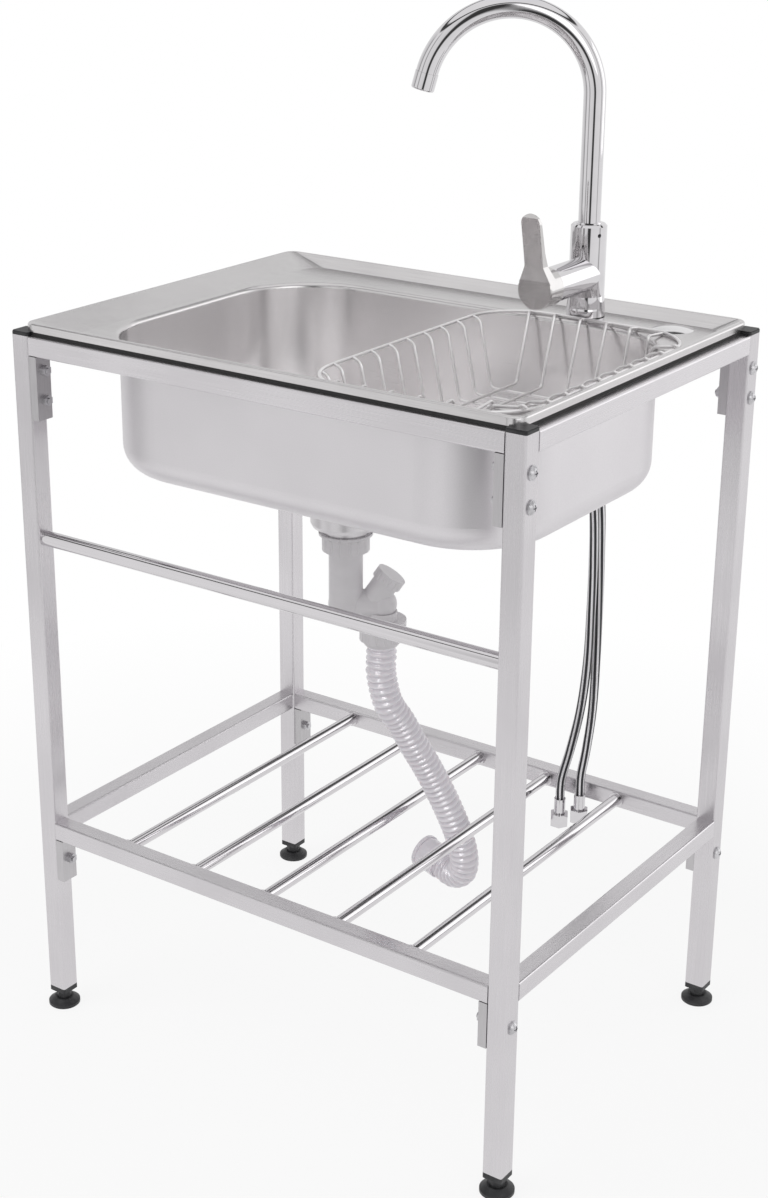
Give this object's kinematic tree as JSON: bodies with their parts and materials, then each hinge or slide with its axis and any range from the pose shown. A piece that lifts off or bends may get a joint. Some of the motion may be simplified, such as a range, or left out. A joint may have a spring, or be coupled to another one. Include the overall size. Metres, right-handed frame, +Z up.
{
  "type": "free-standing kitchen sink unit",
  "caption": "Steel stand with a barred shelf carrying a pressed single-bowl sink with lever mixer tap, wire basket, waste fitting, ribbed drain hose and braided supply hoses.",
  "frame": {"origin": "middle of the bounding box at floor level, under the levelling feet", "axes": "+X to the unit's right as its user faces it, +Y to the back, +Z up"},
  "size_m": [0.613, 0.463, 1.0962],
  "materials": {
    "stand_steel": "satin drawn tube",
    "fastener_steel": "plated",
    "black_plastic": "moulded",
    "sink_steel": "brushed",
    "black_rubber": "matt",
    "grey_plastic": "moulded",
    "white_plastic": "moulded, soft",
    "tap_chrome": "polished plating",
    "tap_brass": "machined thread",
    "tool_steel": "blackened",
    "braid_steel": "braided wire with dark tracers",
    "basket_wire": "polished wire"
  },
  "bodies": {
    "unit": {"front_left_leg": "stand_steel", "front_right_leg": "stand_steel", "back_left_leg": "stand_steel", "back_right_leg": "stand_steel", "leg_caps": "black_plastic", "front_top_rail": "stand_steel", "back_top_rail": "stand_steel", "left_top_rail": "stand_steel", "right_top_rail": "stand_steel", "top_brackets": "stand_steel", "shelf_brackets": "stand_steel", "frame_bolts": "fastener_steel", "frame_washers": "fastener_steel", "frame_nuts": "fastener_steel", "front_crossbar": "stand_steel", "front_shelf_rail": "stand_steel", "back_shelf_rail": "stand_steel", "left_shelf_rail": "stand_steel", "right_shelf_rail": "stand_steel", "shelf_bars": "stand_steel", "foot_inserts": "black_plastic", "sink_bowl": "sink_steel", "sink_gasket": "black_rubber", "hole_cover": "tap_chrome", "cover_nut": "black_plastic", "strainer_body": "sink_steel", "drain_gasket": "black_rubber", "lock_nut": "sink_steel", "slip_nut": "grey_plastic", "drain_wye": "grey_plastic", "branch_cap": "grey_plastic", "outlet_nut": "grey_plastic", "drain_hose": "white_plastic", "drain_cuff": "white_plastic", "tap_seal": "black_rubber", "tap_base_ring": "tap_chrome", "tap_body": "tap_chrome", "tap_shank": "tap_brass", "shank_washer": "black_rubber", "shank_nut": "tap_brass", "spout_screw": "tool_steel", "cartridge": "white_plastic", "cartridge_ring": "tap_chrome", "hot_hose": "braid_steel", "cold_hose": "braid_steel", "hose_sleeves": "tap_chrome", "union_nuts": "tap_chrome"},
    "spout_arm": {"spout": "tap_chrome", "aerator": "tap_chrome"},
    "temperature": {"cartridge_carrier": "white_plastic"},
    "lever": {"cartridge_stem": "tool_steel", "lever_handle": "tap_chrome", "lever_screw": "tool_steel"},
    "basket": {"wire_basket": "basket_wire"},
    "strainer": {"strainer_basket": "sink_steel"},
    "front_left_foot_screw": {"front_left_foot": "black_plastic"},
    "front_right_foot_screw": {"front_right_foot": "black_plastic"},
    "back_left_foot_screw": {"back_left_foot": "black_plastic"},
    "back_right_foot_screw": {"back_right_foot": "black_plastic"}
  },
  "joints": [
    {"name": "spout_swivel", "type": "hinge", "parent": "unit", "child": "spout_arm", "pos_m": [0.126, 0.177, 0.873], "axis": [0, 0, 1], "continuous": true},
    {"name": "lever_temperature", "type": "hinge", "parent": "unit", "child": "temperature", "pos_m": [0.126, 0.114, 0.822], "axis": [0, -1, 0], "range_deg": [-45, 45]},
    {"name": "lever_lift", "type": "hinge", "parent": "temperature", "child": "lever", "pos_m": [0.126, 0.114, 0.822], "axis": [1, 0, 0], "range_deg": [0, 20]},
    {"name": "basket_slide", "type": "slide", "parent": "unit", "child": "basket", "axis": [-1, 0, 0], "range_m": [0, 0.2]},
    {"name": "strainer_lift", "type": "slide", "parent": "unit", "child": "strainer", "axis": [0, 0, 1], "range_m": [0, 0.09]},
    {"name": "front_left_foot_height", "type": "slide", "parent": "unit", "child": "front_left_foot_screw", "axis": [0, 0, -1], "range_m": [0, 0.015]},
    {"name": "front_right_foot_height", "type": "slide", "parent": "unit", "child": "front_right_foot_screw", "axis": [0, 0, -1], "range_m": [0, 0.015]},
    {"name": "back_left_foot_height", "type": "slide", "parent": "unit", "child": "back_left_foot_screw", "axis": [0, 0, -1], "range_m": [0, 0.015]},
    {"name": "back_right_foot_height", "type": "slide", "parent": "unit", "child": "back_right_foot_screw", "axis": [0, 0, -1], "range_m": [0, 0.015]}
  ]
}
